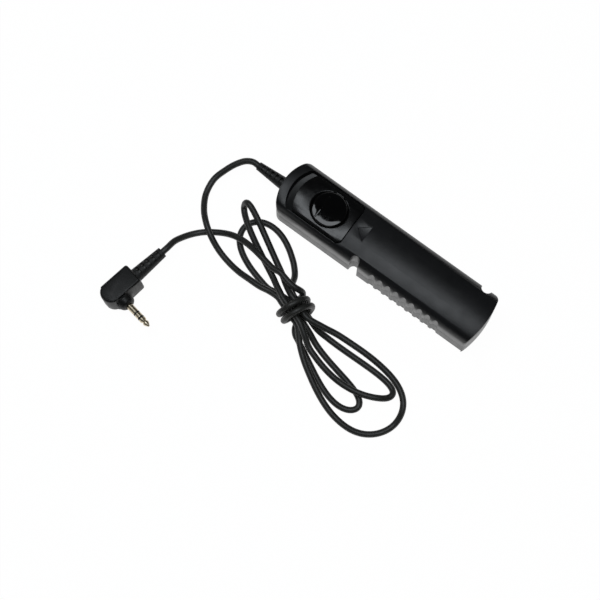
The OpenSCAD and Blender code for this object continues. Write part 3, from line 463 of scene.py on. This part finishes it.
# ---- Contacts and wires -------------------------------------------------------
# Three brass leaves are clamped in a block of pale laminate, and the cord's three coloured
# wires are soldered to their ends. All of this is closed inside the case.
brass_finish, tree, shader = new_finish("contact_brass", metallic=1)
coloured(tree, shader, 0.0015, 3, (0.62, 0.44, 0.19), (0.78, 0.58, 0.28))
roughened(tree, shader, 0.0006, 3, 0.25, 0.38)
raised(tree, shader, grain(tree, 0.00012, 2), 0.000004, 0.5)
dress(brass_finish, "common_contact", "focus_contact", "release_contact")

laminate_finish, tree, shader = new_finish("inner_plastic")
coloured(tree, shader, 0.0012, 3, (0.30, 0.28, 0.21), (0.42, 0.40, 0.32))
roughened(tree, shader, 0.0007, 2, 0.5, 0.62)
raised(tree, shader, grain(tree, 0.0002, 2), 0.00001, 0.6)
dress(laminate_finish, "contact_base", "contact_spacers")

for name, dark, light in (("wire_common", (0.62, 0.62, 0.60), (0.74, 0.74, 0.72)),
                          ("wire_focus", (0.42, 0.02, 0.015), (0.55, 0.035, 0.025)),
                          ("wire_release", (0.62, 0.42, 0.02), (0.76, 0.54, 0.035))):
    wire_finish, tree, shader = new_finish(name)
    coloured(tree, shader, 0.002, 2, dark, light)
    roughened(tree, shader, 0.0008, 2, 0.35, 0.5)
    raised(tree, shader, grain(tree, 0.0003, 2), 0.00001, 0.4)
    dress(wire_finish, name)

# ---- Strain reliefs -----------------------------------------------------------
# Tapered sleeves of soft black rubber, moulded over the cord where it enters the grip and the
# plug, with windows through them so that they bend. The rubber is matt, with a faint bloom.
rubber_finish, tree, shader = new_finish("grommet_rubber")
coloured(tree, shader, 0.003, 3, (0.0065, 0.0070, 0.0068), (0.0115, 0.0120, 0.0115))
roughened(tree, shader, 0.0009, 3, 0.50, 0.64)
raised(tree, shader, grain(tree, 0.00018, 2), 0.000016, 0.6)
dress(rubber_finish, "cord_grommet", "plug_strain_relief")

# ---- Plug ---------------------------------------------------------------------
# A right-angled plug of black PVC moulded round the jack in one shot, with rounded edges and a
# conical collar. Its skin is smooth and only faintly shiny. It sits on the cord's far end.
plug_edge_r = 0.0009
plug_edge_sharpness = 60
plug_finish, tree, shader = new_finish("plug_black")
coloured(tree, shader, 0.004, 3, (0.0065, 0.0068, 0.0068), (0.0105, 0.0110, 0.0108))
roughened(tree, shader, 0.002, 3, 0.38, 0.50)
raised(tree, shader, grain(tree, 0.00045, 2), 0.000006, 0.5)
shader.inputs["Specular IOR Level"].default_value = 0.36
moulded_plug = round_edges("plug_body", "housing", plug_finish, plug_edge_r,
                           plug_edge_sharpness, segments=5)

# ---- Jack ---------------------------------------------------------------------
# A three-pole jack: tip, ring and sleeve are turned from brass and plated pale gold, kept
# apart by two black insulating bands on one insulating core.
plating_finish, tree, shader = new_finish("jack_plating", metallic=1)
coloured(tree, shader, 0.0012, 3, (0.60, 0.52, 0.38), (0.72, 0.64, 0.49))
roughened(tree, shader, 0.0005, 3, 0.34, 0.42)
raised(tree, shader, grain(tree, 0.0004, 2), 0.000002, 0.4)
dress(plating_finish, "jack_sleeve", "jack_ring", "jack_tip")

band_finish, tree, shader = new_finish("jack_insulator")
coloured(tree, shader, 0.001, 2, (0.008, 0.008, 0.008), (0.014, 0.014, 0.013))
roughened(tree, shader, 0.0005, 2, 0.35, 0.45)
raised(tree, shader, grain(tree, 0.00015, 2), 0.000006, 0.5)
dress(band_finish, "jack_core", "jack_front_band", "jack_rear_band")

# ---- Studio -------------------------------------------------------------------
# A white table under one long softbox overhead, with pale walls all round and a dark ceiling.
# The softbox draws the long soft band on the crown of the case. The table glows white to the
# camera and in reflections, and otherwise takes light and shadow as paint does.
table_size = 3
table_drop = 0.00002
paint_white = 0.86
glow_strength = 1.04
glow_share = 0.94
softbox_at = (-0.11, -0.055, 0.98)
softbox_l, softbox_w = 1.1, 0.34
softbox_level = 3.7
softbox_colour = (0.91, 0.955, 1.0)
wall_level, ceiling_level = 0.82, 0.02
wall_top, ceiling_from = 0.60, 0.86

bpy.ops.object.select_all(action="DESELECT")
bpy.ops.mesh.primitive_grid_add(size=table_size, x_subdivisions=4, y_subdivisions=4,
                                location=(0, 0, -table_drop))
table = bpy.context.object
table.name = "table"
table_finish = bpy.data.materials.new("white_table")
table_finish.use_nodes = True
tree = table_finish.node_tree
tree.nodes.remove(tree.nodes["Principled BSDF"])
paint = tree.nodes.new("ShaderNodeBsdfDiffuse")
paint.inputs["Color"].default_value = (paint_white, paint_white, paint_white, 1)
glow = tree.nodes.new("ShaderNodeEmission")
glow.inputs["Strength"].default_value = glow_strength
kind = tree.nodes.new("ShaderNodeLightPath")
seen = tree.nodes.new("ShaderNodeMath")
seen.operation = "MAXIMUM"
seen.use_clamp = True
tree.links.new(kind.outputs["Is Camera Ray"], seen.inputs[0])
tree.links.new(kind.outputs["Is Glossy Ray"], seen.inputs[1])
share = tree.nodes.new("ShaderNodeMath")
share.operation = "MULTIPLY"
share.inputs[1].default_value = glow_share
tree.links.new(seen.outputs[0], share.inputs[0])
both = tree.nodes.new("ShaderNodeMixShader")
tree.links.new(share.outputs[0], both.inputs[0])
tree.links.new(paint.outputs[0], both.inputs[1])
tree.links.new(glow.outputs[0], both.inputs[2])
tree.links.new(both.outputs[0], tree.nodes["Material Output"].inputs["Surface"])
table.data.materials.append(table_finish)

bpy.ops.object.light_add(type="AREA", location=softbox_at)
softbox = bpy.context.object
softbox.name = "overhead_softbox"
softbox.data.shape = "RECTANGLE"
softbox.data.size = softbox_l
softbox.data.size_y = softbox_w
softbox.data.energy = softbox_level * math.pi * softbox_l * softbox_w
softbox.data.color = softbox_colour

world = bpy.data.worlds.new("studio")
bpy.context.scene.world = world
world.use_nodes = True
tree = world.node_tree
sky = tree.nodes["Background"]
place = tree.nodes.new("ShaderNodeTexCoord")
parts = tree.nodes.new("ShaderNodeSeparateXYZ")
tree.links.new(place.outputs["Generated"], parts.inputs[0])
surroundings = spread(tree, parts.outputs["Z"], wall_top, ceiling_from, wall_level, ceiling_level)
kind = tree.nodes.new("ShaderNodeLightPath")
tree.links.new(mixed_values(tree, kind.outputs["Is Camera Ray"], surroundings, 1.0),
               sky.inputs["Strength"])

bpy.context.scene.view_settings.view_transform = "Standard"
